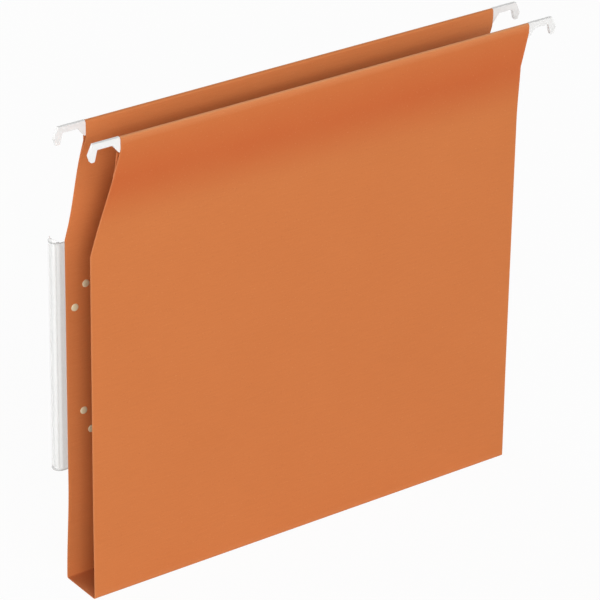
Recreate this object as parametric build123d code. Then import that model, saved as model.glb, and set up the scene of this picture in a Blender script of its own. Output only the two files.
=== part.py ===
from build123d import *

import os

# Lateral hanging file: two hemmed kraft panels on a flat base, a steel rail with moulded hooks in each
# hem, and a clear label holder riveted to the rear panel.
# Frame: origin at the middle of the base's underside, +X along the rails, +Y to the rear, +Z up.
# All sizes are in millimetres.

# Kraft sheet
kraft_thick = 0.4
body_width = 324.0
base_depth = 32.0
panel_height = 312.0
crease_gap = 0.1

# Panel outline: each hem has upright ends, with a slanted cut below them down to the panel's full width.
# The rear hem, with its rail and hooks, sits further left than the front one.
hem_inset = 21.0
rear_hem_shift = 4.0
front_hem_end = 8.0
rear_hem_end = 14.0
left_cut_drop = 74.0
right_hem_end = 6.0
right_cut_drop = 28.0

# Above its crease each panel draws in by its bow, up to just below the label holder
front_bow = 0.5
rear_bow = 3.0
bow_below_holder = 10.0

# Each panel leans out again from just above the left cut's foot to this depth below its top edge
flare_out = 1.5
flare_lift = 7.0
flare_head_drop = 20.0

# Hem round the rail
tunnel_wide = 2.6
tunnel_tall = 10.4
flap_long = 14.0

# Hooks: a notch sits on each cupboard rail
rail_spacing = 330.0
notch_wide = 10.7
notch_offset = 10.8
roof_tall = 4.2
hook_reach = 22.2
hook_tall = 11.7
shoulder_slant = 3.2
shoulder_tall = 7.1
tip_chamfer = 1.6
tip_foot = 2.5
gusset_long = 4.7
gusset_tall = 5.6
hook_thick = 2.2
hook_round = 0.8
hem_end_gap = 0.2

# Steel strip and the tongue that is moulded over each of its ends
strip_thick = 1.0
strip_tall = 6.6
tongue_tall = 8.4
tongue_long = 26.0
strip_in_tongue = 20.0
anchor_radius = 1.6
anchor_inset = 9.0
mould_gap = 0.05

# Label holder: a strip behind the rear panel's left edge, its two tabs and the arched pocket
holder_tall = 157.0
holder_below_cut = 1.0
holder_wall = 0.5
strip_lap = 5.0
arch_radius = 5.0
arch_out = 3.0
arch_end_angle = 110.0
pocket_rim_angle = 14.0
slot_wide = 0.9
stop_tall = 1.5

# Label card
card_thick = 0.3
card_edge_angle = 5.0
card_proud = 2.0
card_rest_gap = 0.1

# Rivets in pairs, one pair to a tab: distance from the panel's left edge, height above the holder's foot
rivet_pairs = (((6.3, 111.0), (14.4, 125.1)), ((17.3, 23.7), (11.8, 38.2)))
rivet_head_radius = 2.5
rivet_head_tall = 0.8
rivet_tail_radius = 2.3
rivet_tail_tall = 0.7
rivet_shank_radius = 1.5
rivet_play = 0.1
tab_margin = 4.5

# Places that follow from the sizes above
half_width = body_width / 2
half_depth = base_depth / 2
panel_foot = kraft_thick + crease_gap
hem_length = rail_spacing - 2 * notch_offset
hem_left = hem_inset - half_width
hem_right = hem_left + hem_length
left_cut_foot = panel_height - left_cut_drop
right_cut_head = panel_height - right_hem_end
right_cut_foot = panel_height - right_cut_drop
holder_head = left_cut_foot - holder_below_cut
holder_foot = holder_head - holder_tall
bow_height = holder_foot - bow_below_holder
flare_foot = left_cut_foot + flare_lift
flare_head = panel_height - flare_head_drop
hem_face = half_depth + flare_out
rail_y = hem_face - kraft_thick - tunnel_wide / 2
rail_z = panel_height - kraft_thick - tunnel_tall / 2
strip_left = hem_left + tongue_long - strip_in_tongue
strip_right = hem_right - tongue_long + strip_in_tongue
arch_x = -half_width - arch_out
rear_face = half_depth - rear_bow
arch_y = rear_face + arch_radius
slot_outer = arch_radius - holder_wall
slot_inner = slot_outer - slot_wide
arch_inner = slot_inner - holder_wall
arch_start_angle = 270.0
slot_low_angle = arch_end_angle + pocket_rim_angle
slot_high_angle = arch_start_angle - 2 * pocket_rim_angle


def save(node, shape):
    export_step(shape, f"parts/{node}.step")


def cross_pin(radius, length, x, y, z):
    """A round pin along Y, centred on the given point."""
    return Pos(x, y, z) * Rot(X=90) * Cylinder(radius, length)


def rivet_places():
    """Centre of each rivet in the rear panel, as (x, z)."""
    return [(inset - half_width, holder_foot + up) for pair in rivet_pairs for inset, up in pair]


def panel_section(bow):
    """Section of a rear panel in (y, z): the web with its two bends, the glued flap and the hem's tunnel."""
    upright = [(0, 1), (0, 1)]

    def face_line(inset):
        web_y = half_depth - bow - inset
        foot = Spline((half_depth - inset, panel_foot), (web_y, bow_height), tangents=upright)
        middle = Line(foot @ 1, (web_y, flare_foot))
        flare = Spline(middle @ 1, (hem_face - inset, flare_head), tangents=upright)
        head = Line(flare @ 1, (hem_face - inset, rail_z))
        return [foot, middle, flare, head]

    outer = face_line(0)
    inner = face_line(kraft_thick)
    ends = [Line(outer[0] @ 0, inner[0] @ 0), Line(outer[-1] @ 1, inner[-1] @ 1)]
    web = make_face(outer + inner + ends)
    flap_foot = rail_z - tunnel_tall / 2 - flap_long
    flap_y = hem_face - 1.5 * kraft_thick
    flap = Pos(flap_y, (flap_foot + rail_z) / 2) * Rectangle(kraft_thick, rail_z - flap_foot)
    hem = SlotOverall(tunnel_tall + 2 * kraft_thick, tunnel_wide + 2 * kraft_thick, rotation=90)
    tunnel = SlotOverall(tunnel_tall, tunnel_wide, rotation=90)
    return web + flap + Pos(rail_y, rail_z) * hem - Pos(rail_y, rail_z) * tunnel


def panel_outline(left_hem_end, hem_shift):
    """Front view of a panel in (x, z), its hem moved to the left by hem_shift."""
    return Polygon(
        (-half_width, panel_foot),
        (half_width, panel_foot),
        (half_width, right_cut_foot),
        (hem_right - hem_shift, right_cut_head),
        (hem_right - hem_shift, panel_height),
        (hem_left - hem_shift, panel_height),
        (hem_left - hem_shift, panel_height - left_hem_end),
        (-half_width, left_cut_foot),
        align=None,
    )


def panel(bow, left_hem_end, hem_shift):
    """A panel as it stands at the rear, with no rivet holes."""
    reach = max(half_width, hem_right)
    sheet = extrude(Plane.YZ * panel_section(bow), amount=reach, both=True)
    blank = extrude(Plane.XZ * panel_outline(left_hem_end, hem_shift), amount=base_depth, both=True)
    return sheet & blank


def hook():
    """Right-hand hook: x outwards from the hem's end, y from the strip's middle, z from the hem's top."""
    notch_near = notch_offset - notch_wide / 2
    notch_far = notch_offset + notch_wide / 2
    gusset_foot = roof_tall + gusset_tall
    plate_face = Polygon(
        (hem_end_gap, 0),
        (hook_reach - shoulder_slant, 0),
        (hook_reach, -shoulder_tall),
        (hook_reach - tip_chamfer, -hook_tall),
        (hook_reach - tip_chamfer - tip_foot, -hook_tall),
        (notch_far, -roof_tall),
        (notch_near, -roof_tall),
        (notch_near - gusset_long, -gusset_foot),
        (hem_end_gap, -gusset_foot),
        align=None,
    )
    outer_corners = plate_face.vertices().filter_by(lambda v: v.X > notch_near + notch_wide / 2)
    plate_face = fillet(outer_corners, hook_round)
    plate = extrude(Plane.XZ * plate_face, amount=hook_thick / 2, both=True)
    axis_z = rail_z - panel_height
    tongue_reach = tongue_long + hem_end_gap
    tongue_x = hem_end_gap - tongue_reach / 2
    tongue = Pos(tongue_x, 0, axis_z) * Box(tongue_reach, hook_thick, tongue_tall)
    socket_long = strip_in_tongue + mould_gap
    socket_x = socket_long / 2 - tongue_long
    socket = Pos(socket_x, 0, axis_z) * Box(socket_long, strip_thick + 2 * mould_gap, strip_tall + 2 * mould_gap)
    boss = cross_pin(anchor_radius, hook_thick, anchor_inset - tongue_long, 0, axis_z)
    return plate + tongue - socket + boss


def strip():
    """Steel strip along the middle of a hem that isn't shifted, with an anchor hole near each end."""
    length = strip_right - strip_left
    bar = Pos((strip_left + strip_right) / 2, rail_y, rail_z) * Box(length, strip_thick, strip_tall)
    for x in (hem_left + tongue_long - anchor_inset, hem_right - tongue_long + anchor_inset):
        bar -= cross_pin(anchor_radius + mould_gap, 2 * strip_thick, x, rail_y, rail_z)
    return bar


def arch_sector(inner, outer, low_angle, high_angle):
    """Ring sector about the arch's centre, in (x, y)."""
    span = high_angle - low_angle
    edges = [
        CenterArc((0, 0), outer, low_angle, span),
        CenterArc((0, 0), inner, low_angle, span),
    ]
    edges += [Line(edges[0] @ 0, edges[1] @ 0), Line(edges[0] @ 1, edges[1] @ 1)]
    return Pos(arch_x, arch_y) * make_face(edges)


def label_holder():
    strip_right_edge = strip_lap - half_width
    strip_long = strip_right_edge - arch_x
    strip_y = rear_face + holder_wall / 2
    strip_face = Pos(arch_x + strip_long / 2, strip_y) * Rectangle(strip_long, holder_wall)
    arch = arch_sector(arch_inner, arch_radius, arch_end_angle, arch_start_angle)
    slot = arch_sector(slot_inner, slot_outer, slot_low_angle, slot_high_angle)
    body = Pos(0, 0, holder_foot) * extrude(strip_face + arch, amount=holder_tall)
    body -= Pos(0, 0, holder_foot + stop_tall) * extrude(slot, amount=holder_tall)
    for pair in rivet_pairs:
        heights = [holder_foot + up for inset, up in pair]
        tab_right_edge = max(inset for inset, up in pair) + tab_margin - half_width
        tab_long = tab_right_edge - arch_x
        tab_tall = max(heights) - min(heights) + 2 * tab_margin
        tab = Box(tab_long, holder_wall, tab_tall)
        body += Pos(arch_x + tab_long / 2, strip_y, sum(heights) / len(heights)) * tab
    for x, z in rivet_places():
        body -= cross_pin(rivet_shank_radius + rivet_play, 4 * holder_wall, x, strip_y, z)
    return body


def label_card():
    middle = (slot_inner + slot_outer) / 2
    low = slot_low_angle + card_edge_angle
    high = slot_high_angle - card_edge_angle
    face = arch_sector(middle - card_thick / 2, middle + card_thick / 2, low, high)
    foot = holder_foot + stop_tall + card_rest_gap
    return Pos(0, 0, foot) * extrude(face, amount=holder_head + card_proud - foot)


def holder_rivets():
    """Four rivets: head inside the file, tail behind the tab."""
    inner_face = rear_face - kraft_thick
    outer_face = rear_face + holder_wall
    rivets = []
    for x, z in rivet_places():
        head = cross_pin(rivet_head_radius, rivet_head_tall, x, inner_face - rivet_head_tall / 2, z)
        tail = cross_pin(rivet_tail_radius, rivet_tail_tall, x, outer_face + rivet_tail_tall / 2, z)
        shank_long = outer_face - inner_face
        shank = cross_pin(rivet_shank_radius, shank_long, x, inner_face + shank_long / 2, z)
        rivets.append(head + shank + tail)
    return Compound(children=rivets)


os.makedirs("parts", exist_ok=True)

save("front_panel", mirror(panel(front_bow, front_hem_end, 0), about=Plane.XZ))
rear_panel = panel(rear_bow, rear_hem_end, rear_hem_shift)
for x, z in rivet_places():
    rear_panel -= cross_pin(rivet_shank_radius + rivet_play, 4 * kraft_thick, x, rear_face, z)
save("rear_panel", rear_panel)
save("base_panel", Pos(0, 0, kraft_thick / 2) * Box(body_width, base_depth, kraft_thick))

straight_strip = strip()
save("front_rail", mirror(straight_strip, about=Plane.XZ))
save("rear_rail", Pos(-rear_hem_shift, 0, 0) * straight_strip)

right_hook = hook()
left_hook = mirror(right_hook, about=Plane.YZ)
for row, y, hem_shift in (("front", -rail_y, 0), ("rear", rail_y, rear_hem_shift)):
    save(f"{row}_left_hook", Pos(hem_left - hem_shift, y, panel_height) * left_hook)
    save(f"{row}_right_hook", Pos(hem_right - hem_shift, y, panel_height) * right_hook)

save("label_holder", label_holder())
save("label_card", label_card())
save("holder_rivets", holder_rivets())
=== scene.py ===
# %% [markdown]
# # Dressing a hanging file
# The imported solids come in first and stay where they are: they carry the sizes, the joints and the mounts.
# Everything made below is a finer surface over one of them, or a finish for it.

from math import cos, pi, radians, sin

import bmesh
import bpy
import numpy as np
from mathutils import Matrix, Vector, noise


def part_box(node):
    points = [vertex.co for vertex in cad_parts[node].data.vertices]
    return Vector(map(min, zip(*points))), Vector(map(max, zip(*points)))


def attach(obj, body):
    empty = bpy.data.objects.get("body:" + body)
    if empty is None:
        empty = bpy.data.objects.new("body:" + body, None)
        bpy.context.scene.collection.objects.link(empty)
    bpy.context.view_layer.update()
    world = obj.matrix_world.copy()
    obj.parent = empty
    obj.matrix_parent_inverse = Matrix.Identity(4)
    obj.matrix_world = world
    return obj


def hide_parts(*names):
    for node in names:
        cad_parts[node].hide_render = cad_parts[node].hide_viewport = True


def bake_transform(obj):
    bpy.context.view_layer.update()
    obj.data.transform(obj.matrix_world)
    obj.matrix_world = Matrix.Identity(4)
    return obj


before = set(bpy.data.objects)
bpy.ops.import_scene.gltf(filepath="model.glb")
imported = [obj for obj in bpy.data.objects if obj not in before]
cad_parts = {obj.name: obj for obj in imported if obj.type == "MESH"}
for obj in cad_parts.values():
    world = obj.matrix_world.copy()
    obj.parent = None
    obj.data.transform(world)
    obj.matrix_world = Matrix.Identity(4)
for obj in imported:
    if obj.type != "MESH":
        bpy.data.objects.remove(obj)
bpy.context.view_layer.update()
MM = 0.001

# %% [markdown]
# ## Sizes
# Most sizes can be read from the boxes of the solids. What a box can't tell, such as where the slanted cuts
# start, is repeated here from the drawing of the file, in metres. A panel's side is -1 at the front and 1 at
# the rear.

# %% Sizes of the sheet, the hems and the cuts
base_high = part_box("base_panel")[1]
front_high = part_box("front_panel")[1]
rear_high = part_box("rear_panel")[1]
holder_low, holder_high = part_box("label_holder")
strip_low, strip_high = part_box("rear_rail")

KRAFT = base_high.z
HALF_WIDTH = base_high.x
HALF_DEPTH = base_high.y
TOP = rear_high.z
HEM_FACE = rear_high.y
HEM_LONG = 308.4 * MM
RAIL_Y = (strip_low.y + strip_high.y) / 2
RAIL_Z = (strip_low.z + strip_high.z) / 2
TUNNEL_TALL = 10.4 * MM
TUNNEL_WIDE = 2 * (HEM_FACE - KRAFT - RAIL_Y)
FLAP_LONG = 14.0 * MM
LEFT_CUT_FOOT = 238.0 * MM
RIGHT_CUT = (284.0 * MM, 306.0 * MM)
FLARE = (245.0 * MM, 292.0 * MM)
BOW_TOP = 70.0 * MM
FRONT = {"side": -1, "bow": 0.5 * MM, "hem_right": front_high.x, "cut_head": 304.0 * MM, "seed": 3.0}
REAR = {"side": 1, "bow": 3.0 * MM, "hem_right": rear_high.x, "cut_head": 298.0 * MM, "seed": 8.0}
REAR_FACE = HALF_DEPTH - REAR["bow"]
print(f"sheet {KRAFT / MM:.2f} mm, tunnel {TUNNEL_WIDE / MM:.2f} mm wide")
print(f"rear hem {(FRONT['hem_right'] - REAR['hem_right']) / MM:.1f} mm further left than the front one")

# %% [markdown]
# ## Shader maths as plain Python
# A finish is a small drawing in numbers: noise times a strength, plus a mask, and so on. Wrapping a socket
# in a class with operators lets such a drawing be written as an expression. Each operator adds one Math
# node, and any other node comes from a single method.

# %% A socket that does arithmetic
class Wire:
    """A shader socket that can be used in Python arithmetic."""

    def __init__(self, bench, socket):
        self.bench = bench
        self.socket = socket

    def __add__(self, other):
        return self.bench.math("ADD", self, other)

    __radd__ = __add__

    def __sub__(self, other):
        return self.bench.math("SUBTRACT", self, other)

    def __rsub__(self, other):
        return self.bench.math("SUBTRACT", other, self)

    def __mul__(self, other):
        return self.bench.math("MULTIPLY", self, other)

    __rmul__ = __mul__

    def clamp(self):
        return self.bench.math("MINIMUM", self.bench.math("MAXIMUM", self, 0.0), 1.0)


print("wires add, subtract, multiply and clamp")

# %% A bench that makes the nodes
class Bench:
    """The node tree of a material or a world."""

    def __init__(self, tree):
        self.tree = tree

    def plug(self, socket, value):
        if isinstance(value, Wire):
            self.tree.links.new(value.socket, socket)
        elif isinstance(value, tuple) and len(value) == 3 and socket.type == "RGBA":
            socket.default_value = (*value, 1.0)
        else:
            socket.default_value = value

    def add(self, kind, settings, sockets, output=0):
        """Any node: its settings are set first, then the values or links of its sockets."""
        node = self.tree.nodes.new(kind)
        for name, value in settings.items():
            setattr(node, name, value)
        for key, value in sockets.items():
            self.plug(node.inputs[key], value)
        return Wire(self, node.outputs[output])

    def math(self, operation, first, second):
        return self.add("ShaderNodeMath", {"operation": operation}, {0: first, 1: second})

    def mix(self, factor, first, second):
        """Two colours mixed by a factor. The node has its colours at inputs 6 and 7, and at output 2."""
        settings = {"data_type": "RGBA", "clamp_factor": True}
        return self.add("ShaderNodeMix", settings, {0: factor, 6: first, 7: second}, output=2)

    def place(self):
        """Where a point lies on its object, in metres."""
        return self.add("ShaderNodeTexCoord", {}, {}, output="Object")

    def painted(self, attribute):
        """A value that the mesh carries on its points."""
        return self.add("ShaderNodeAttribute", {"attribute_name": attribute}, {}, output="Fac")

    def noise(self, coordinates, scale, detail=3.0, roughness=0.55):
        """Noise whose features measure one over the scale, in metres, along each axis."""
        placed = self.add("ShaderNodeMapping", {}, {"Vector": coordinates, "Scale": scale})
        sockets = {"Vector": placed, "Scale": 1.0, "Detail": detail, "Roughness": roughness}
        return self.add("ShaderNodeTexNoise", {}, sockets)

    def bump(self, height, strength, depth):
        return self.add("ShaderNodeBump", {}, {"Strength": strength, "Distance": depth, "Height": height})


class Finish(Bench):
    """A material with one Principled shader."""

    def __init__(self, name):
        self.material = bpy.data.materials.new(name)
        self.material.use_nodes = True
        super().__init__(self.material.node_tree)
        self.shader = self.tree.nodes["Principled BSDF"]

    def set(self, **sockets):
        for name, value in sockets.items():
            self.plug(self.shader.inputs[name.replace("_", " ")], value)


print("shader helpers ready")

# %% [markdown]
# ## From a mesh to a piece
# A mesh is only points and faces. An object puts it into the scene, and a material slot gives it a finish.
# Shading is smooth all over, except along edges where two faces meet at more than a given angle: those stay
# crisp, as folds and rims do.

# %% Put a finished mesh into the scene
SHARP_EDGE = radians(50)


def add_piece(name, mesh, material, sharp_angle=SHARP_EDGE):
    mesh.materials.clear()
    mesh.materials.append(material)
    mesh.shade_smooth()
    mesh.set_sharp_from_angle(angle=sharp_angle)
    piece = bpy.data.objects.new(name, mesh)
    bpy.context.scene.collection.objects.link(piece)
    return piece


print("edges stay crisp from", round(SHARP_EDGE / radians(1)), "degrees, or from an angle that a piece gives")

# %% [markdown]
# ## Orange kraft
# The sheet is kraft dyed through, about 0.4 mm thick, dull and very even. Its fibres lie mostly along the
# length of the file, and close up they show as fine streaks with a few paler and darker specks. On the
# outside, a deeper and darker band of painted shade lies on the flare below the hems; inside, the base is
# darkened with painted shade. The sheet is worn a little paler along its creases and cut edges. Where the
# hems roll over their rails it is paler still, partly from wear and partly as a painted highlight, and the
# insides of its webs are made faintly paler all over with painted light.
# The noise is laid out on the flat sheet, in metres, so the streaks run on over the folds. Where the sheet
# is worn and where light and shade are painted on it comes from the mesh, as three values on its points.

# %% The kraft finish
SHEET_MAP = "flat_sheet"
# Pale wear, with a painted highlight on the hems and painted light inside the webs.
WEAR_AND_PAINTED_LIGHT = "wear_and_painted_light"
# Painted shade on the flare below the hems.
PAINTED_FLARE_SHADE = "painted_flare_shade"
# Painted shade on the inside of the base.
PAINTED_BASE_SHADE = "painted_base_shade"
KRAFT_SHADES = ((0.585, 0.164, 0.039), (0.675, 0.209, 0.058))
# The colour of the painted shade on the flare.
FLARE_SHADE_COLOUR = (0.575, 0.12, 0.024)
# The colour of the painted shade on the base.
BASE_SHADE_COLOUR = (0.40, 0.13, 0.05)
# The colour of pale wear, painted highlight and painted light.
PALE_WEAR_AND_LIGHT = (0.76, 0.34, 0.15)
PALE_SPECK = (0.75, 0.34, 0.15)
DARK_SPECK = (0.38, 0.09, 0.025)
SPECK_EDGE = 9.0


def kraft_finish():
    kraft = Finish("orange_kraft")
    flat = kraft.add("ShaderNodeUVMap", {"uv_map": SHEET_MAP}, {})
    wear_and_painted_light = kraft.painted(WEAR_AND_PAINTED_LIGHT)
    painted_flare_shade = kraft.painted(PAINTED_FLARE_SHADE)
    painted_base_shade = kraft.painted(PAINTED_BASE_SHADE)
    clouds = kraft.noise(flat, (14, 14, 1), detail=3.0)
    streaks = kraft.noise(flat, (80, 1000, 1), detail=4.0, roughness=0.6)
    grain = kraft.noise(flat, (1500, 1900, 1), detail=2.0)
    specks = kraft.noise(flat, (700, 1100, 1), detail=1.0)
    tone = (0.5 + (clouds - 0.5) * 0.35 + (streaks - 0.5) * 0.75 + (grain - 0.5) * 0.6).clamp()
    colour = kraft.mix(tone, *KRAFT_SHADES)
    # Painted shade: the flare below the hems is darkened.
    colour = kraft.mix(painted_flare_shade * (0.88 + (clouds - 0.5) * 0.5), colour, FLARE_SHADE_COLOUR)
    # Painted shade: the inside of the base is darkened.
    colour = kraft.mix(painted_base_shade * (0.3 + (clouds - 0.5) * 0.3), colour, BASE_SHADE_COLOUR)
    pale = ((specks - 0.66) * SPECK_EDGE).clamp() * 0.25
    dark = ((0.33 - specks) * SPECK_EDGE).clamp() * 0.3
    colour = kraft.mix(pale, colour, PALE_SPECK)
    colour = kraft.mix(dark, colour, DARK_SPECK)
    # Pale wear along creases and cut edges, a painted highlight on the hems and painted light inside the
    # webs.
    painted_light_and_wear = (wear_and_painted_light * (0.2 + streaks * 0.9 + grain * 0.7)).clamp()
    tooth = grain * 0.6 + streaks * 0.4
    kraft.set(
        Base_Color=kraft.mix(painted_light_and_wear, colour, PALE_WEAR_AND_LIGHT),
        Roughness=(0.68 + (streaks - 0.5) * 0.2 - painted_flare_shade * 0.08),
        Normal=kraft.bump(tooth, strength=0.2, depth=0.1 * MM),
        Specular_IOR_Level=0.3,
        Sheen_Weight=0.04,
    )
    return kraft.material


kraft_material = kraft_finish()
print("kraft finish", len(kraft_material.node_tree.nodes), "nodes")

# %% [markdown]
# ## The folded sheet
# On the real file one sheet runs from hem to hem. It is drawn as a line in side view, from the middle of the
# base out to the crease, up the web, over the rail and down to the edge of the glued flap. Sweeping that
# line along the file, between the cut ends, gives the sheet. Drawing the line once keeps hem, web and base
# in one skin, with no seam at the crease, where two separate plates would show a gap.

# %% How far out the sheet lies at each height
CREASE_OUT = HALF_DEPTH - KRAFT / 2
GLUE_LINE = 0.03 * MM


def smooth(t):
    """An even rise from zero to one, level at both ends."""
    t = min(max(t, 0.0), 1.0)
    return t * t * (3 - 2 * t)


def web_out(bow, z):
    """How far out from the file's middle plane the web's middle lies at height z."""
    upright = CREASE_OUT - bow * smooth((z - KRAFT) / (BOW_TOP - KRAFT))
    return upright + (HEM_FACE - HALF_DEPTH + bow) * smooth((z - FLARE[0]) / (FLARE[1] - FLARE[0]))


def glued_out(bow, z):
    """How far out the middle of the flap lies where it is glued to the web."""
    return web_out(bow, z) - KRAFT - GLUE_LINE


print(f"the rear hem leans out {(web_out(REAR['bow'], TOP) - web_out(REAR['bow'], FLARE[0])) / MM:.1f} mm")

# %% The side view of one half of the sheet
BASE_UP = KRAFT / 2
CREASE_RADIUS = 1.1 * MM
CREASE_STEP = 15
HEM_RADIUS = (TUNNEL_WIDE + KRAFT) / 2
ROUND_TOP = RAIL_Z + (TUNNEL_TALL - TUNNEL_WIDE) / 2
ROUND_FOOT = RAIL_Z - (TUNNEL_TALL - TUNNEL_WIDE) / 2
DRAW_IN = 13.0 * MM
GLUED_TOP = ROUND_FOOT - DRAW_IN
FLAP_FOOT = RAIL_Z - TUNNEL_TALL / 2 - FLAP_LONG
ROW_STEP = 3.5 * MM
BASE_ROWS = 6
ROLL_ROWS = 12
TUNNEL_ROWS = 4
DRAW_ROWS = 12
FLAP_ROWS = 4


def steps(start, stop, count):
    """Even steps from start to stop, with the stop among them but not the start."""
    return np.linspace(start, stop, count + 1)[1:]


def heights(low, high, keep):
    """Evenly spaced heights from low to high, with the heights in keep among them."""
    count = max(2, round((high - low) / ROW_STEP))
    return sorted({*steps(low, high, count), *(z for z in keep if low < z < high)})


def web_line(panel):
    """From the base's middle out to the crease, round it and up the web, as (out, up)."""
    centre = (CREASE_OUT - CREASE_RADIUS, BASE_UP + CREASE_RADIUS)
    base = [(y, BASE_UP) for y in np.linspace(0, centre[0], BASE_ROWS + 1)[:-1]]
    turn = [radians(a) for a in range(-90, 1, CREASE_STEP)]
    fold = [(centre[0] + CREASE_RADIUS * cos(a), centre[1] + CREASE_RADIUS * sin(a)) for a in turn]
    corners = (LEFT_CUT_FOOT, panel["cut_head"], *RIGHT_CUT, *FLARE, BOW_TOP)
    web = [(web_out(panel["bow"], z), z) for z in heights(fold[-1][1], ROUND_TOP, corners)]
    return base + fold + web


def hem_line(panel):
    """From the top of the web over the rail and down to the edge of the glued flap, as (out, up)."""
    bow = panel["bow"]
    inside = RAIL_Y - HEM_RADIUS
    turn = steps(0, pi, ROLL_ROWS)
    roll = [(RAIL_Y + HEM_RADIUS * cos(a), ROUND_TOP + HEM_RADIUS * sin(a)) for a in turn]
    tunnel = [(inside, z) for z in steps(ROUND_TOP, ROUND_FOOT, TUNNEL_ROWS)]
    draw_in = []
    for z in steps(ROUND_FOOT, GLUED_TOP, DRAW_ROWS):
        share = smooth((ROUND_FOOT - z) / (ROUND_FOOT - GLUED_TOP))
        draw_in.append(((1 - share) * inside + share * glued_out(bow, z), z))
    flap = [(glued_out(bow, z), z) for z in steps(GLUED_TOP, FLAP_FOOT, FLAP_ROWS)]
    return roll + tunnel + draw_in + flap


def half_sheet_line(panel):
    """Side view of half the sheet, from the base's middle to the flap's edge."""
    return np.array(web_line(panel) + hem_line(panel))


print("rows in half a sheet", len(half_sheet_line(REAR)))

# %% [markdown]
# The sheet isn't perfectly flat: one this large bows by a few tenths of a millimetre between its folds. That
# wave fades out at the folds, at the hem and beside the label holder, so nothing lifts off the sheet.

# %% The ends of the sheet and its slow wave
WAVE = 0.2 * MM
WAVE_LENGTH = 95 * MM
WAVE_FADE = 40 * MM
HOLDER_MARGIN = 25 * MM


def end_x(panel, z):
    """Left and right ends of a panel's sheet at height z, with a slanted cut below each end of the hem."""
    hem_left = panel["hem_right"] - HEM_LONG
    left = np.interp(z, (LEFT_CUT_FOOT, panel["cut_head"]), (-HALF_WIDTH, hem_left))
    right = np.interp(z, RIGHT_CUT, (HALF_WIDTH, panel["hem_right"]))
    return left, right


def wave(x, z, seed):
    """Slow bowing of the sheet between its folds, along its thickness."""
    above_base = smooth(z / WAVE_FADE)
    below_flare = smooth((FLARE[0] - z) / WAVE_FADE)
    beside_holder = smooth((x + HALF_WIDTH - HOLDER_MARGIN) / WAVE_FADE)
    calm = above_base * below_flare * beside_holder
    return WAVE * calm * noise.noise(Vector((x / WAVE_LENGTH, seed, z / WAVE_LENGTH)))


print(f"the sheet bows by up to {WAVE / MM} mm")

# %% [markdown]
# Wear and painted light follow from where a point lies on the sheet. The cut ends are worn pale on both
# sides. Outside, so is the crease; the hem is paler, partly from wear and partly as a painted highlight along
# its roll, and the flare is darkened with painted shade. Inside, the webs are made a little paler with
# painted light, and the base is darkened with painted shade.

# %% Where the sheet is worn, and where light and shade are painted on it
CREASE_RUB = 0.18
CREASE_RUB_FADE = 2.2 * MM
# Hem and roll: paler partly from wear and partly as a painted highlight.
HEM_WEAR_AND_HIGHLIGHT = 0.24
HEM_WEAR_AND_HIGHLIGHT_REACH = 5.0 * MM
HEM_WEAR_AND_HIGHLIGHT_FADE = 4.0 * MM
ROLL_WEAR_AND_HIGHLIGHT = 0.85
ROLL_WEAR_AND_HIGHLIGHT_REACH = 1.3 * MM
ROLL_WEAR_AND_HIGHLIGHT_FADE = 1.2 * MM
END_RUB = 0.21
END_RUB_FADE = 0.004
# Painted light on the inside of the webs.
INSIDE_PAINTED_LIGHT = 0.12
# Painted shade on the flare, darkest along this line.
FLARE_SHADE_LINE = 286 * MM
FLARE_SHADE_REACH = 36 * MM


def on_base(z):
    """One at the height of the base, and none on the web above the crease."""
    return 1 - smooth((z - KRAFT) / CREASE_RADIUS)


def wear_and_painted_light_at(u, z, outside):
    """Paleness at height z and a share u of the way from end to end, from wear and painted light."""
    ends = END_RUB * (1 - smooth(min(u, 1 - u) / END_RUB_FADE))
    if not outside:
        # Inside, the webs are made paler with painted light.
        return max(ends, INSIDE_PAINTED_LIGHT * (1 - on_base(z)))
    crease = CREASE_RUB * (1 - smooth((z - KRAFT) / CREASE_RUB_FADE))
    # Hem and roll: partly wear, partly a painted highlight.
    hem = HEM_WEAR_AND_HIGHLIGHT * smooth((z - TOP + HEM_WEAR_AND_HIGHLIGHT_REACH) / HEM_WEAR_AND_HIGHLIGHT_FADE)
    roll = ROLL_WEAR_AND_HIGHLIGHT * smooth((z - TOP + ROLL_WEAR_AND_HIGHLIGHT_REACH) / ROLL_WEAR_AND_HIGHLIGHT_FADE)
    return max(crease, hem, ends, roll)


def flare_shade_at(z):
    """How much painted shade darkens the sheet at height z: most along one line on the flare."""
    if z < FLARE_SHADE_LINE:
        return smooth(1 - (FLARE_SHADE_LINE - z) / FLARE_SHADE_REACH)
    return ((TOP - z) / (TOP - FLARE_SHADE_LINE)) ** 0.5


# The darkening printed here is painted shade.
print(f"the painted flare shade is darkest at {FLARE_SHADE_LINE / MM:.0f} mm")

# %% [markdown]
# The sheet has two skins, half a thickness to each side of the line, closed along the cut edges. Each skin is
# a grid: its rows are the points of the line, and its columns run from one cut end to the other, closer
# together at the ends, where the wear changes fastest.

# %% Points and faces of a sheet with two skins
EDGE_COLUMNS = (0.0, 0.0012, END_RUB_FADE)
INNER_COLUMNS = np.linspace(0.01, 0.99, 100)
COLUMNS = [*EDGE_COLUMNS, *INNER_COLUMNS, *(1 - u for u in reversed(EDGE_COLUMNS))]


def travelled(line):
    """How far along the line each of its points lies."""
    return np.concatenate([[0], np.cumsum(np.linalg.norm(np.diff(line, axis=0), axis=1))])


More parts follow.
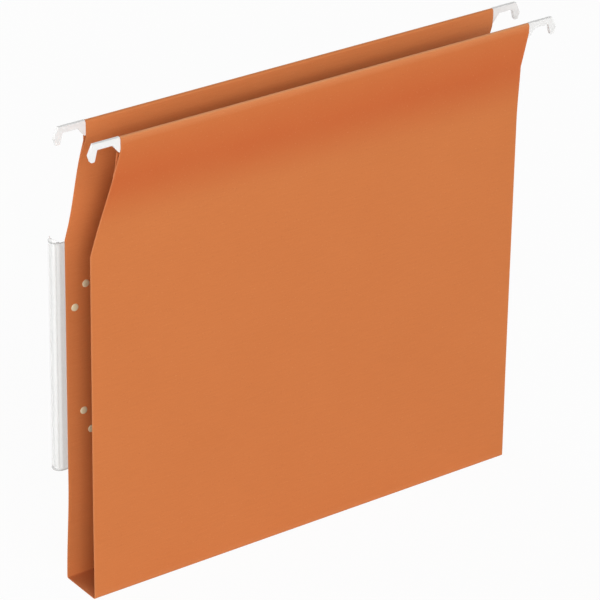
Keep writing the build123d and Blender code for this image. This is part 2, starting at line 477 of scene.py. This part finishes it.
def sheet_points(panel, line):
    """Points of both skins, their places on the flat sheet, and wear, painted light and shade at each."""
    tangent = np.gradient(line, axis=0)
    tangent /= np.linalg.norm(tangent, axis=1)[:, None]
    outward = np.stack([tangent[:, 1], -tangent[:, 0]], axis=1)
    top_row = line[:, 1].argmax()
    web_start = HALF_DEPTH - 2 * CREASE_RADIUS - panel["bow"]
    points, flat = [], []
    painted_light_and_wear = {WEAR_AND_PAINTED_LIGHT: [], PAINTED_FLARE_SHADE: [], PAINTED_BASE_SHADE: []}
    for skin in (1, -1):
        for row, ((out, up), normal, along) in enumerate(zip(line, outward, travelled(line))):
            left, right = end_x(panel, up)
            on_web = 1.0 if out > web_start else 0.0
            outside = (skin > 0) == (row <= top_row)
            for u in COLUMNS:
                x = left + u * (right - left)
                offset = skin * KRAFT / 2 + on_web * wave(x, up, panel["seed"])
                points.append((x, panel["side"] * (out + normal[0] * offset), up + normal[1] * offset))
                flat.append((x, along))
                # Pale wear and painted light; painted shade on the outside of the flare and on the inside of
                # the base.
                painted_light_and_wear[WEAR_AND_PAINTED_LIGHT].append(on_web * wear_and_painted_light_at(u, up, outside))
                painted_light_and_wear[PAINTED_FLARE_SHADE].append(flare_shade_at(up) if outside else 0.0)
                painted_light_and_wear[PAINTED_BASE_SHADE].append(0.0 if outside else on_base(up))
    return points, flat, painted_light_and_wear


def sheet_faces(rows, columns):
    """Faces of two skins, one after the other, and of the rim that joins them along the cut edges."""
    skin_size = rows * columns
    faces = []
    for start in (0, skin_size):
        for r in range(rows - 1):
            for c in range(columns - 1):
                a = start + r * columns + c
                faces.append((a, a + 1, a + columns + 1, a + columns))
    rim = [r * columns for r in range(rows)]
    rim += [(rows - 1) * columns + c for c in range(1, columns)]
    rim += [r * columns + columns - 1 for r in range(rows - 2, -1, -1)]
    rim += [c for c in range(columns - 2, 0, -1)]
    for a, b in zip(rim, rim[1:] + rim[:1]):
        faces.append((a, b, b + skin_size, a + skin_size))
    return faces


print("columns in each skin", len(COLUMNS))

# %% Sweep the side view into the two halves
def face_outward(mesh):
    """Turn every face of a closed mesh outward."""
    edit = bmesh.new()
    edit.from_mesh(mesh)
    bmesh.ops.recalc_face_normals(edit, faces=edit.faces)
    edit.to_mesh(mesh)
    edit.free()


def half_sheet(name, panel):
    """Half the sheet, and how long it is when laid flat."""
    line = half_sheet_line(panel)
    points, flat, painted_light_and_wear = sheet_points(panel, line)
    mesh = bpy.data.meshes.new(name)
    mesh.from_pydata(points, [], sheet_faces(len(line), len(COLUMNS)))
    face_outward(mesh)
    layer = mesh.uv_layers.new(name=SHEET_MAP)
    for loop in mesh.loops:
        layer.data[loop.index].uv = flat[loop.vertex_index]
    for attribute, values in painted_light_and_wear.items():
        mesh.attributes.new(attribute, "FLOAT", "POINT")
        mesh.attributes[attribute].data.foreach_set("value", np.array(values, np.float32))
    return add_piece(name, mesh, kraft_material), travelled(line)[-1]


front_sheet, front_length = half_sheet("front_kraft_sheet", FRONT)
rear_sheet, rear_length = half_sheet("rear_kraft_sheet", REAR)
print(f"flat blank {(front_length + rear_length) / MM:.0f} mm from flap to flap")

# %% [markdown]
# The halves meet in the middle of the base. Each is baked in place, and the solids of the base and the panel
# that it covers are hidden.

# %% Bake the halves in place and hide the solids under them
BEND = 2.0 * MM
for piece, body, panel in ((front_sheet, "front", FRONT), (rear_sheet, "rear", REAR)):
    crease_y = panel["side"] * HALF_DEPTH
    inside_y = crease_y - panel["side"] * BEND
    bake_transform(piece)
    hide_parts(f"{body}_panel", "base_panel")

# %% [markdown]
# ## White hooks
# Each hook is a flat white moulding, 2.2 mm thick, with a notch that sits on a cupboard rail. A moulding
# never has knife edges: the tool leaves a small round along every one, and that round is what catches the
# light. So the solid's mesh is copied, its flat faces are joined up again and its edges are bevelled.

# %% Round the edges of a solid's copy
WELD = 0.001 * MM
FLAT_ANGLE = radians(1.0)
ROUND_ANGLE = radians(35)
ROUND_SEGMENTS = 3


def softened_copy(node, name, radius, material):
    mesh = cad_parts[node].data.copy()
    mesh.name = name
    if "custom_normal" in mesh.attributes:
        mesh.attributes.remove(mesh.attributes["custom_normal"])
    edit = bmesh.new()
    edit.from_mesh(mesh)
    bmesh.ops.remove_doubles(edit, verts=edit.verts, dist=WELD)
    bmesh.ops.dissolve_limit(edit, angle_limit=FLAT_ANGLE, verts=edit.verts, edges=edit.edges)
    edit.to_mesh(mesh)
    edit.free()
    piece = add_piece(name, mesh, material, ROUND_ANGLE)
    bevel = piece.modifiers.new("rounded_edges", "BEVEL")
    bevel.width = radius
    bevel.segments = ROUND_SEGMENTS
    bevel.limit_method = "ANGLE"
    bevel.angle_limit = ROUND_ANGLE
    bevel.harden_normals = True
    return piece


print("rounds have", ROUND_SEGMENTS, "segments")

# %% Four white hooks
HOOK_ROUND = 0.3 * MM


def moulded_finish(name, shade, shadow, roughness, orange_peel):
    """Moulded plastic: an even colour, a faint flow of shade and a skin that isn't quite smooth."""
    plastic = Finish(name)
    place = plastic.place()
    flow = plastic.noise(place, (60, 220, 60), detail=3.0)
    skin = plastic.noise(place, (1300, 1300, 1300), detail=2.0)
    plastic.set(
        Base_Color=plastic.mix((flow * 0.7).clamp(), shade, shadow),
        Roughness=(roughness + (flow - 0.5) * 0.12),
        Normal=plastic.bump(skin, strength=orange_peel, depth=0.05 * MM),
    )
    return plastic.material


hook_material = moulded_finish(
    "white_hook_plastic",
    shade=(0.89, 0.89, 0.88),
    shadow=(0.84, 0.84, 0.83),
    roughness=0.36,
    orange_peel=0.12,
)
for row in ("front", "rear"):
    for end in ("left", "right"):
        node = f"{row}_{end}_hook"
        hook = softened_copy(node, f"{node}_moulding", HOOK_ROUND, hook_material)
        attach(hook, row)
        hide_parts(node)
print("four hooks with", HOOK_ROUND / MM, "mm rounds")

# %% [markdown]
# ## Label holder and card
# The holder is one clear strip, bent into an arched pocket along the edge of the file, so that the label can
# be read from the end. The arch is polished. The flat lap and its two tabs, where the strip is fixed to the
# sheet, are frosted and look grey. Part alpha gives both, without the heavy dark rims of solid glass, and
# lets light reach the card: little alpha on the arch, more on the lap. Which is which follows from how far a
# point stands behind the sheet. The cut ends of a clear strip hold light back, so a thin grey line of
# painted shade is laid along them.
# The card is plain white stock and stays blank.

# %% The clear strip
LAP_FACE = REAR_FACE + 0.6 * MM
ARCH_CLEAR = REAR_FACE + 1.6 * MM
CUT_END = 1.0 * MM
HOLDER_ROUND = 0.1 * MM


def clear_finish():
    clear = Finish("clear_holder_plastic")
    place = clear.place()
    behind = clear.add("ShaderNodeSeparateXYZ", {}, {"Vector": place}, output="Y")
    height = clear.add("ShaderNodeSeparateXYZ", {}, {"Vector": place}, output="Z")
    lap = ((ARCH_CLEAR - behind) * (1 / (ARCH_CLEAR - LAP_FACE))).clamp()
    foot = ((holder_low.z + CUT_END - height) * (1 / CUT_END)).clamp()
    head = ((height - holder_high.z + CUT_END) * (1 / CUT_END)).clamp()
    ends = (foot + head).clamp()
    drawn = clear.noise(place, (900, 900, 12), detail=2.0)
    frost = clear.noise(place, (1600, 1600, 1600), detail=2.0)
    glassy = clear.mix(drawn, (0.84, 0.85, 0.85), (0.89, 0.90, 0.90))
    frosted = clear.mix(frost, (0.54, 0.54, 0.52), (0.62, 0.62, 0.60))
    strip = clear.mix(lap, glassy, frosted)
    clear.set(
        # Painted shade: the cut ends are greyed into a thin line.
        Base_Color=clear.mix(ends, strip, (0.40, 0.41, 0.40)),
        Roughness=(0.1 + drawn * 0.08 + lap * (0.25 + frost * 0.2)),
        Alpha=(0.11 + drawn * 0.03 + lap * (0.3 + frost * 0.1) + ends * 0.4),
        Normal=clear.bump(drawn * 0.5 + frost * lap, strength=0.08, depth=0.04 * MM),
        Coat_Weight=0.4,
    )
    return clear.material


holder = softened_copy("label_holder", "label_holder_strip", HOLDER_ROUND, clear_finish())
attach(holder, "rear")
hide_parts("label_holder")
print("holder", round((holder_high.z - holder_low.z) / MM), "mm long")

# %% The blank card
CARD_ROUND = 0.05 * MM


def card_finish():
    stock = Finish("white_label_card")
    fibres = stock.noise(stock.place(), (500, 500, 120), detail=4.0)
    stock.set(
        Base_Color=stock.mix(fibres, (0.89, 0.89, 0.88), (0.93, 0.93, 0.92)),
        Roughness=(0.72 + fibres * 0.12),
        Normal=stock.bump(fibres, strength=0.15, depth=0.05 * MM),
    )
    return stock.material


card = softened_copy("label_card", "blank_label_card", CARD_ROUND, card_finish())
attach(card, "label")
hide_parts("label_card")
print("card", round(card.dimensions.z / MM), "mm long")

# %% [markdown]
# ## Rivets
# Four cream plastic rivets hold the strip's two tabs to the sheet: a low dome inside the file, a shank
# through sheet and tab, and a flatter tail behind. A rivet is round about its axis, so its side view is
# turned about that axis, ring by ring. The rivets' places are in from the left edge of the sheet and up from
# the foot of the holder. Head and tail are each a radius and a height.

# %% The side view of a rivet
RIVET_PLACES = (
    (6.3 * MM, 111.0 * MM),
    (14.4 * MM, 125.1 * MM),
    (17.3 * MM, 23.7 * MM),
    (11.8 * MM, 38.2 * MM),
)
HEAD = (2.5 * MM, 0.8 * MM)
TAIL = (2.3 * MM, 0.7 * MM)
SHANK_RADIUS = 1.5 * MM
HOLDER_WALL = 0.5 * MM
DOME_RINGS = 8
DOME_CROWN = 0.06
DOME_FULLNESS = 0.7


def dome(radius, height):
    """Rings of a low dome from its middle to its rim, as (radius, height above the rim)."""
    turn = np.linspace(DOME_CROWN, pi / 2, DOME_RINGS)
    return [(radius * sin(a), height * cos(a) ** DOME_FULLNESS) for a in turn]


def rivet_line():
    """Side view of a rivet as (radius, y), from the head's middle to the tail's."""
    inner = REAR_FACE - KRAFT
    outer = REAR_FACE + HOLDER_WALL
    head = [(r, inner - h) for r, h in dome(*HEAD)]
    tail = [(r, outer + h) for r, h in reversed(dome(*TAIL))]
    return head + [(SHANK_RADIUS, inner), (SHANK_RADIUS, outer)] + tail


print("rings on a rivet", len(rivet_line()))

# %% Turn the four rivets
RIVET_SIDES = 36


def turned_rivets(name, material):
    edit = bmesh.new()
    turn = [2 * pi * k / RIVET_SIDES for k in range(RIVET_SIDES)]
    for inset, up in RIVET_PLACES:
        x = inset - HALF_WIDTH
        z = holder_low.z + up
        rings = []
        for r, y in rivet_line():
            rings.append([edit.verts.new((x + r * cos(a), y, z + r * sin(a))) for a in turn])
        for low, high in zip(rings, rings[1:]):
            for k in range(RIVET_SIDES):
                n = (k + 1) % RIVET_SIDES
                edit.faces.new((low[k], low[n], high[n], high[k]))
        edit.faces.new(rings[0])
        edit.faces.new(rings[-1])
    bmesh.ops.recalc_face_normals(edit, faces=edit.faces)
    mesh = bpy.data.meshes.new(name)
    edit.to_mesh(mesh)
    edit.free()
    return add_piece(name, mesh, material)


rivet_material = moulded_finish(
    "cream_rivet_plastic",
    shade=(0.80, 0.72, 0.49),
    shadow=(0.72, 0.63, 0.40),
    roughness=0.42,
    orange_peel=0.15,
)
rivets = turned_rivets("turned_holder_rivets", rivet_material)
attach(rivets, "rear")
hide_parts("holder_rivets")
print("rivets", len(RIVET_PLACES))

# %% [markdown]
# ## Steel rails
# The rails are flat strip inside the hems. Only a glimpse of one ever shows, so the solids stay as they are
# and get a drawn-steel finish: fine streaks along the strip that change both shade and gloss.

# %% Drawn steel for the rails
def steel_finish():
    steel = Finish("drawn_steel")
    drawn = steel.noise(steel.place(), (25, 2500, 2500), detail=3.0)
    steel.set(
        Base_Color=steel.mix(drawn, (0.42, 0.42, 0.43), (0.62, 0.62, 0.63)),
        Metallic=1.0,
        Roughness=(0.28 + drawn * 0.2),
        Normal=steel.bump(drawn, strength=0.15, depth=0.02 * MM),
    )
    return steel.material


steel_material = steel_finish()
for node in ("front_rail", "rear_rail"):
    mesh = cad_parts[node].data
    mesh.materials.clear()
    mesh.materials.append(steel_material)
print("rails finished")

# %% [markdown]
# ## Studio
# The photograph shows the file on white, lit softly from the front left. One large lamp stands there, low,
# so that the light falls off into the open side of the file and only grazes the base. A second, higher and
# nearly in front, lights the hems. Two smaller, lower ones light the label holder from the left and the
# back from behind. The world and a pale grey floor fill the rest.
# A white ground from more light would wash the kraft out, so the floor and the world are lifted towards
# white only for the camera, and for what is mirrored or seen through plastic. The shadow stays.

# %% A pale floor
FLOOR_LIFT = 0.955
FLOOR_HALF = 6.0
FLOOR_LEVEL = -0.05 * MM
WHITE = (1.0, 1.0, 1.0)


def seen_directly(bench):
    """One where the camera looks, straight, by a reflection or through clear plastic."""
    straight = bench.add("ShaderNodeLightPath", {}, {}, output="Is Camera Ray")
    mirrored = bench.add("ShaderNodeLightPath", {}, {}, output="Is Glossy Ray")
    through = bench.add("ShaderNodeLightPath", {}, {}, output="Is Transmission Ray")
    return (straight + mirrored + through).clamp()


def floor_finish():
    pale = Finish("pale_floor")
    cloud = pale.noise(pale.place(), (2, 2, 2))
    pale.set(Base_Color=pale.mix(cloud, (0.70, 0.70, 0.70), (0.72, 0.72, 0.72)), Roughness=0.9)
    lifted = pale.add("ShaderNodeEmission", {}, {"Color": WHITE, "Strength": 1.0})
    own = Wire(pale, pale.shader.outputs[0])
    both = pale.add("ShaderNodeMixShader", {}, {0: seen_directly(pale) * FLOOR_LIFT, 1: own, 2: lifted})
    pale.plug(pale.tree.nodes["Material Output"].inputs["Surface"], both)
    return pale.material


floor_mesh = bpy.data.meshes.new("pale_floor")
floor_signs = ((-1, -1), (1, -1), (1, 1), (-1, 1))
floor_corners = [(FLOOR_HALF * x, FLOOR_HALF * y, FLOOR_LEVEL) for x, y in floor_signs]
floor_mesh.from_pydata(floor_corners, [], [(0, 1, 2, 3)])
floor_mesh.materials.append(floor_finish())
floor = bpy.data.objects.new("pale_floor", floor_mesh)
bpy.context.scene.collection.objects.link(floor)
print("floor", 2 * FLOOR_HALF, "m wide")

# %% Four lamps
LAMP_AIM = Vector((0, 0, 0.15))


def soft_lamp(name, azimuth, elevation, distance, size, power):
    """A round lamp aimed at the file's middle. Its angles go round to the left from the front, and up."""
    side, up = radians(azimuth), radians(elevation)
    toward = Vector((-sin(side) * cos(up), -cos(side) * cos(up), sin(up)))
    lamp_data = bpy.data.lights.new(name, "AREA")
    lamp_data.shape = "DISK"
    lamp_data.size = size
    lamp_data.energy = power
    lamp = bpy.data.objects.new(name, lamp_data)
    lamp.location = LAMP_AIM + toward * distance
    lamp.rotation_euler = (-toward).to_track_quat("-Z", "Y").to_euler()
    bpy.context.scene.collection.objects.link(lamp)


soft_lamp("key_lamp", azimuth=31, elevation=21, distance=7.0, size=3.6, power=254.0)
soft_lamp("high_lamp", azimuth=4, elevation=41, distance=7.0, size=3.6, power=170.0)
soft_lamp("side_lamp", azimuth=96, elevation=3, distance=3.2, size=1.5, power=30.0)
soft_lamp("back_lamp", azimuth=165, elevation=10, distance=3.2, size=1.5, power=60.0)
print("lamps", len(bpy.data.lights))

# %% An even world
WORLD_LEVEL = 0.13

world = bpy.data.worlds.new("even_studio")
world.use_nodes = True
background = world.node_tree.nodes["Background"]
sky = Bench(world.node_tree)
sky.plug(background.inputs["Color"], WHITE)
sky.plug(background.inputs["Strength"], WORLD_LEVEL + seen_directly(sky) * (1 - WORLD_LEVEL))
bpy.context.scene.world = world
bpy.context.scene.view_settings.view_transform = "Standard"
print("world level", WORLD_LEVEL)

# %% [markdown]
# ## Camera
# The camera stands in front and to the left, well above the file, and far away, because the long edges of
# the file hardly draw together in the photograph. Its angles were fitted to the corners of the two panels.

# %% Place the camera
CAMERA_AZIMUTH = radians(-36.13)
CAMERA_ELEVATION = radians(27.11)
CAMERA_ROLL = radians(0.93)
CAMERA_DISTANCE = 2.3700
CAMERA_AIM = Vector((4.3, 0.1, 155.4)) * MM
CAMERA_LENS = 225.3
CAMERA_SENSOR = 36.0

turned = Matrix.Rotation(CAMERA_AZIMUTH, 4, "Z") @ Matrix.Rotation(pi / 2 - CAMERA_ELEVATION, 4, "X")
turned = turned @ Matrix.Rotation(CAMERA_ROLL, 4, "Z")
camera_place = CAMERA_AIM + turned.to_3x3() @ Vector((0, 0, CAMERA_DISTANCE))
camera_data = bpy.data.cameras.new("photo_camera")
camera_data.lens = CAMERA_LENS
camera_data.sensor_width = CAMERA_SENSOR
camera = bpy.data.objects.new("photo_camera", camera_data)
camera.matrix_world = Matrix.Translation(camera_place) @ turned
bpy.context.scene.collection.objects.link(camera)
bpy.context.scene.camera = camera
print("camera at", [round(v, 3) for v in camera.matrix_world.translation])

# %% Bring the scene up to date
bpy.context.view_layer.update()
